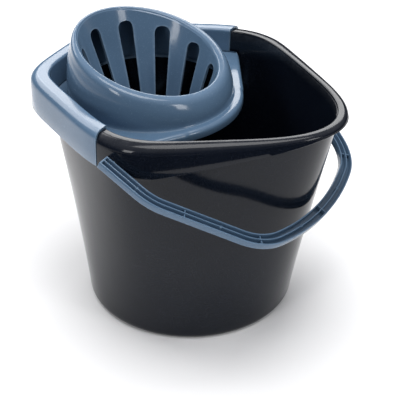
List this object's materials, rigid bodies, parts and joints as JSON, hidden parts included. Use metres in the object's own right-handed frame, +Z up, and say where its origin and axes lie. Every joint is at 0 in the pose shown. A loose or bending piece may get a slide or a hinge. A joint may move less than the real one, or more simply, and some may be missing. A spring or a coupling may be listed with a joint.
{
  "type": "mop and bucket with wringer",
  "caption": "Black plastic mop bucket with a pouring spout, a clip-in slotted cone wringer in slate grey, a hand grip in its base and a ribbed swinging bail handle.",
  "frame": {"origin": "on the floor, at the centre of the footprint's box (about 7 mm from the middle of the round base, toward the spout)", "axes": "+X toward the pouring spout, +Y along the bail's pivot axis, +Z up"},
  "size_m": [0.3518, 0.3342, 0.3067],
  "materials": {
    "black_plastic": "gloss black injection-moulded polypropylene",
    "slate_plastic": "semi-gloss slate blue-grey injection-moulded polypropylene"
  },
  "bodies": {
    "bucket": {"tub_wall": "black_plastic", "tub_floor": "black_plastic", "foot_ring": "black_plastic", "hand_grip": "black_plastic", "rim_lip": "black_plastic", "rim_skirt": "black_plastic", "rim_step": "black_plastic", "step_skirt": "black_plastic", "pivot_boss_near": "black_plastic", "pivot_boss_far": "black_plastic"},
    "wringer": {"wringer_collar_top": "slate_plastic", "wringer_collar_outer": "slate_plastic", "wringer_collar_inner": "slate_plastic", "wringer_tray": "slate_plastic", "wringer_flange": "slate_plastic", "wringer_ring": "slate_plastic", "wringer_lip": "slate_plastic", "wringer_cone_band": "slate_plastic", "wringer_cone_bars": "slate_plastic", "wringer_cone_foot": "slate_plastic", "wringer_hub": "slate_plastic"},
    "bail": {"bail_web": "slate_plastic", "bail_outer_wall": "slate_plastic", "bail_inner_wall": "slate_plastic", "bail_centre_rib": "slate_plastic", "bail_cross_ribs": "slate_plastic", "bail_end_near": "slate_plastic", "bail_end_far": "slate_plastic", "bail_pin_near": "slate_plastic", "bail_pin_far": "slate_plastic"}
  },
  "joints": [
    {"name": "wringer_lift", "type": "slide", "parent": "bucket", "child": "wringer", "axis": [0, 0, 1], "range_m": [0, 0.14]},
    {"name": "bail_swing", "type": "hinge", "parent": "bucket", "child": "bail", "pos_m": [-0.00667, 0, 0.236], "axis": [0, -1, 0], "range_deg": [0, 236]}
  ]
}
